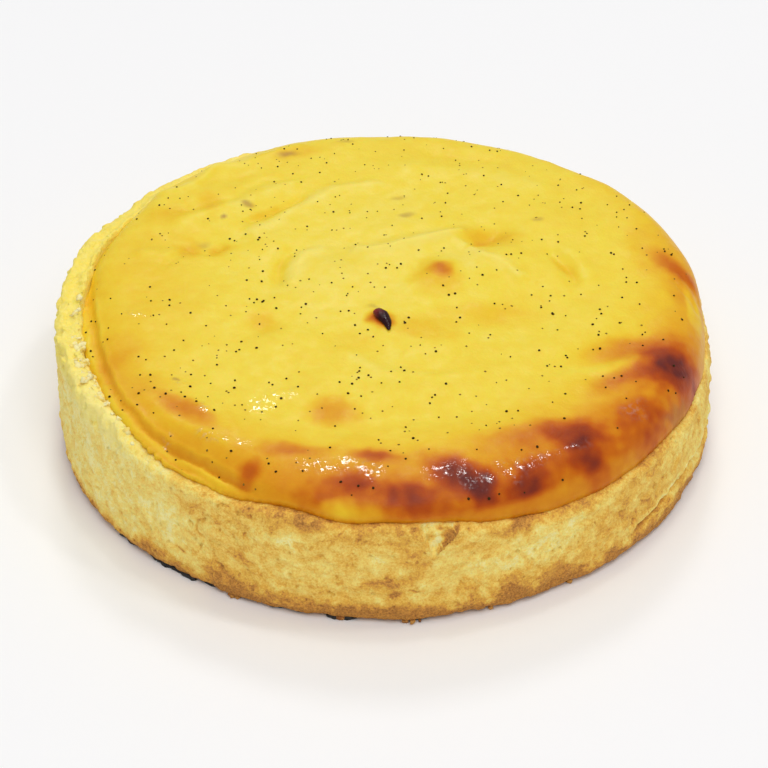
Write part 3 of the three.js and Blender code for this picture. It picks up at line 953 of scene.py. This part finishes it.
SEED_REACH = 47.2
SEEDS_IN_SKIN = 350
SEEDS_BELOW = 360
SEED_HALF_SIZES = (0.13, 0.235)
SEED_GAP = 1.0
TWIN_SHARE = 0.12  # of the seeds lie in twos
TWIN_GAP = 0.6
DARK_BAND_REACH = 6.5  # from the middle of the front band; further out, pale seeds show
DARK_BURN = 0.04  # deeper than this, the burn on the right hides them
SEED_COLOURS = (colour(28, 20, 4), colour(74, 54, 12))
SEED_BELOW_COLOURS = (colour(150, 116, 36), colour(104, 78, 30))


def template_points(kind, **settings):
    """Points and faces of a ball of radius 1, to copy into joined pieces."""
    deselect_all()
    kind(radius=1, **settings)
    ball = bpy.context.object
    points = np.array([v.co[:] for v in ball.data.vertices])
    faces = [tuple(f.vertices) for f in ball.data.polygons]
    bpy.data.objects.remove(ball)
    return points, faces


def joined_piece(name, shapes):
    """One mesh of many small closed shapes: a list of (points in mm, faces)."""
    points = []
    faces = []
    for shape_points, shape_faces in shapes:
        start = len(points)
        points += [tuple(p) for p in np.asarray(shape_points) * MM]
        faces += [tuple(i + start for i in face) for face in shape_faces]
    mesh = bpy.data.meshes.new(name)
    mesh.from_pydata(points, [], faces)
    piece = bpy.data.objects.new(name, mesh)
    bpy.context.scene.collection.objects.link(piece)
    shade_smooth(piece)
    return piece


def scatter_places(count, rng, reach):
    """Random places on a disc, a little apart, with a few of them in twos."""
    places = []
    while len(places) < count:
        radius = reach * math.sqrt(rng.random())
        turn = rng.uniform(0, 2 * math.pi)
        middle = Vector((radius * math.cos(turn), radius * math.sin(turn)))
        if any((middle - other).length < SEED_GAP for other in places):
            continue
        places.append(middle)
        if rng.random() < TWIN_SHARE:
            places.append(middle + Vector((rng.gauss(0, TWIN_GAP), rng.gauss(0, TWIN_GAP))))
    return [p for p in places if p.length < reach]


def in_burn(place):
    """Whether the skin is so dark there that no seed shows from under it."""
    at = np.array([[place.x, place.y, 0]])
    if distance_to_line(at, FRONT_BAND)[0] < DARK_BAND_REACH:
        return True
    return patch(at, *BROWNED["right_burn"])[0] > DARK_BURN


def seeds(name, count, sink, seed):
    """A piece of seeds that stand out of the skin by that share of their size, or lie under it."""
    rng = random.Random(seed)
    ball, faces = template_points(bpy.ops.mesh.primitive_uv_sphere_add, segments=8, ring_count=5)
    shapes = []
    for place in scatter_places(count, rng, SEED_REACH):
        found = on_surface(custard_surface, place.x, place.y)
        if not found:
            continue
        surface, normal = found
        finer_behind = 0.7 + 0.3 * float(ramp(place.y, 60, -20))
        size = rng.uniform(*SEED_HALF_SIZES) * finer_behind
        squash = Vector((1, rng.uniform(0.75, 1), rng.uniform(0.6, 0.8))) * size
        turn = normal.to_track_quat("Z", "Y") @ Euler((0, 0, rng.uniform(0, 6.3))).to_quaternion()
        centre = surface + normal * (size * sink)
        if sink > 0 or not in_burn(place):
            shapes.append(([centre + turn @ Vector(p * squash) for p in ball], faces))
    piece = joined_piece(name, shapes)
    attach(piece, "root")
    return piece


black_seeds = seeds("vanilla_seeds", SEEDS_IN_SKIN, 0.25, 11)
seed_finish = Finish("vanilla_seed")
seed_finish.set(Base_Color=seed_finish.mix(seed_finish.grain(0.3), *SEED_COLOURS))
seed_finish.set(Roughness=0.6, IOR=1.2)
seed_finish.cover(black_seeds)

pale_seeds = seeds("vanilla_seeds_under_skin", SEEDS_BELOW, -0.3, 23)
pale_seed_finish = Finish("vanilla_seed_under_skin")
shade = pale_seed_finish.grain(4)
pale_seed_finish.set(Base_Color=pale_seed_finish.mix(shade, *SEED_BELOW_COLOURS))
pale_seed_finish.set(Roughness=0.5, IOR=1.2)
pale_seed_finish.cover(pale_seeds)

# ------------------------------------------------ rim crumbs
# Crumbs of the pale dough that broke off the rim: a drift of them where the rim is broken on
# the left, and single ones along the line where the custard meets the crust.

LEFT_CRUMBS = 85
LEFT_CRUMBS_AT = (178, 226, 204)  # degrees: from, to, and where most of them lie
LEFT_CRUMBS_RADIUS = (44.8, 48.6, 46.0)
CRUMB_HALF_SIZES = (0.2, 0.75)
LINE_CRUMBS = 60
LINE_CRUMBS_AT = (238, 345)  # degrees
LINE_CRUMB_HALF_SIZES = (0.1, 0.3)
CRUMB_ROUGHNESS = 0.8
CRUMB_PALE = colour(251, 239, 176)
CRUMB_GOLD = colour(244, 214, 112)

crust_surface = BVHTree.FromObject(crust, bpy.context.evaluated_depsgraph_get())


def random_shift(rng):
    """A place of its own in the noise, so that no two crumbs are alike."""
    return Vector((rng.uniform(0, 90), rng.uniform(0, 90), rng.uniform(0, 90)))


def crumb(ball, centre, size, flatness, rng):
    """A rough little block: a ball with its points moved by noise, turned at random."""
    shift = random_shift(rng)
    tilts = (rng.uniform(-0.5, 0.5), rng.uniform(-0.5, 0.5), rng.uniform(0, 6.3))
    turn = Euler(tilts).to_quaternion()
    stretch = Vector((1, rng.uniform(0.6, 0.95), flatness)) * size
    points = []
    for p in ball:
        rough = 1 + CRUMB_ROUGHNESS * noise.noise(Vector(p) * 1.7 + shift)
        points.append(centre + turn @ Vector(p * stretch * rough))
    return points


def facing_point(surface, angle, height):
    """The point of the outside at an angle and a height, seen from outside the tart."""
    out = Vector((math.cos(angle), math.sin(angle), 0))
    start = (out * 70 + Vector((0, 0, height))) * MM
    point, _, _, _ = surface.ray_cast(start, -out)
    return point / MM if point else Vector((0, 0, height))


def meeting_point(angle):
    """Where the custard's edge begins, going up the outside at an angle."""
    height = 12.0
    while height < 22:
        crust_point = facing_point(crust_surface, angle, height)
        custard_point = facing_point(custard_surface, angle, height)
        if custard_point.xy.length > crust_point.xy.length:
            return crust_point
        height += 0.15
    return facing_point(crust_surface, angle, 17)


rng = random.Random(37)
ball, faces = template_points(bpy.ops.mesh.primitive_ico_sphere_add, subdivisions=2)
shapes = []
for _ in range(LEFT_CRUMBS):
    angle = math.radians(rng.triangular(*LEFT_CRUMBS_AT))
    radius = rng.triangular(*LEFT_CRUMBS_RADIUS)
    found = on_surface(crust_surface, radius * math.cos(angle), radius * math.sin(angle))
    size = rng.uniform(*CRUMB_HALF_SIZES) * rng.uniform(0.7, 1.25)
    if found and found[0].z > 15:
        shapes.append((crumb(ball, found[0] - found[1] * size * 0.1, size, 0.55, rng), faces))
for _ in range(LINE_CRUMBS):
    angle = math.radians(rng.uniform(*LINE_CRUMBS_AT))
    size = rng.uniform(*LINE_CRUMB_HALF_SIZES)
    place = meeting_point(angle) - Vector((0, 0, rng.uniform(0, 0.5)))
    shapes.append((crumb(ball, place, size, 0.8, rng), faces))
rim_crumbs = joined_piece("rim_crumbs", shapes)

crumb_finish = Finish("pastry_crumb")
shade = crumb_finish.grain(0.9, 2).eased(0.4, 0.65)
crumb_finish.set(Base_Color=crumb_finish.mix(shade, CRUMB_PALE, CRUMB_GOLD), Roughness=0.8, IOR=1.3)
crumb_finish.soften(0.2, (1.0, 0.7, 0.35), 0.5)
crumb_finish.bump(crumb_finish.grain(0.25, 2), 0.5, 0.08)
crumb_finish.cover(rim_crumbs)
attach(rim_crumbs, "root")

# ------------------------------------------------ foot of the crust
# Butter and sugar that ran out under the foot and charred in thin black scabs, which also
#  stand in as painted shadow in the gap under the foot, and a few browned crumbs that stuck to it.

# Each scab is charred sugar, and its dark sheet is also painted shadow under the foot.
CHAR_AND_SHADOW_AT = {  # degrees: how many scabs, how far they spread in degrees, and their thickness
    202: (4, 1.4, 0.8), 218.5: (8, 1.8, 1.7), 223: (8, 2.0, 0.8), 231: (12, 1.9, 1.8),
    238: (10, 4.0, 0.8), 250: (8, 4.0, 0.8), 262: (12, 1.1, 1.6), 274: (6, 3.0, 0.8),
}
CHAR_THIN = 0.8
CHAR_REACH = 0.3  # how much further out a scab reaches for each millimetre over that
CHAR_HALF_LENGTHS = (0.4, 1.2)
CHAR_HALF_WIDTH = 0.32  # times its thickness
CHAR_HALF_HEIGHT = 0.22
CHAR_ROUGHNESS = 0.6
# Blue-black: charred sugar, and painted shadow in the gap under the foot.
CHAR_AND_SHADOW_COLOURS = (colour(16, 18, 24), colour(40, 34, 30))
FOOT_CRUMBS_AT = (243.5, 244.6, 262.6, 273.4, 274.5, 275.8, 288, 303)
FOOT_CRUMB_HALF_SIZES = (0.3, 0.6)
FOOT_CRUMB_COLOURS = (colour(206, 150, 74), colour(150, 92, 44))


def stand_on_table(shapes):
    """Flattens what would reach below the table top."""
    for points, _ in shapes:
        for point in points:
            point.z = max(point.z, 0.01)


shapes = []
for degrees, (count, spread, thick) in CHAR_AND_SHADOW_AT.items():
    for _ in range(count):
        angle = math.radians(rng.gauss(degrees, spread))
        edge = facing_point(crust_surface, angle, 0.4).xy.length
        size = rng.uniform(*CHAR_HALF_LENGTHS)
        shift = random_shift(rng)
        out = Vector((math.cos(angle), math.sin(angle), 0))
        along = Vector((-out.y, out.x, 0))
        reach = edge - rng.uniform(0.05, 0.3) + CHAR_REACH * (thick - CHAR_THIN)
        centre = out * reach + Vector((0, 0, rng.uniform(0.1, 0.3)))
        scab = []
        for p in ball:
            rough = 1 + CHAR_ROUGHNESS * noise.noise(Vector(p) * 1.4 + shift)
            section = out * p[1] * CHAR_HALF_WIDTH + Vector((0, 0, p[2] * CHAR_HALF_HEIGHT))
            scab.append(centre + (along * p[0] * size + section * thick) * rough)
        shapes.append((scab, faces))
stand_on_table(shapes)
foot_char_and_shadow = joined_piece("foot_char_and_shadow", shapes)
# The scabs' finish: charred sugar, dark also as painted shadow under the foot.
char_and_shadow_finish = Finish("charred_sugar_and_painted_shadow")
char_and_shadow_finish.set(Base_Color=char_and_shadow_finish.mix(char_and_shadow_finish.grain(0.8), *CHAR_AND_SHADOW_COLOURS))
char_and_shadow_finish.set(Roughness=0.45)
char_and_shadow_finish.bump(char_and_shadow_finish.grain(0.3, 2), 0.5, 0.1)
char_and_shadow_finish.cover(foot_char_and_shadow)
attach(foot_char_and_shadow, "root")

shapes = []
for degrees in FOOT_CRUMBS_AT:
    angle = math.radians(degrees)
    edge = facing_point(crust_surface, angle, 0.6).xy.length
    size = rng.uniform(*FOOT_CRUMB_HALF_SIZES)
    place = Vector((edge * math.cos(angle), edge * math.sin(angle), size * 0.7))
    shapes.append((crumb(ball, place, size, 0.7, rng), faces))
stand_on_table(shapes)
foot_crumbs = joined_piece("foot_crumbs", shapes)
foot_crumb_finish = Finish("browned_crumb")
shade = foot_crumb_finish.grain(1.2, 2).eased(0.4, 0.6)
foot_crumb_finish.set(Base_Color=foot_crumb_finish.mix(shade, *FOOT_CRUMB_COLOURS))
foot_crumb_finish.set(Roughness=0.75, IOR=1.3)
foot_crumb_finish.bump(foot_crumb_finish.grain(0.25, 2), 0.5, 0.08)
foot_crumb_finish.cover(foot_crumbs)
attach(foot_crumbs, "root")
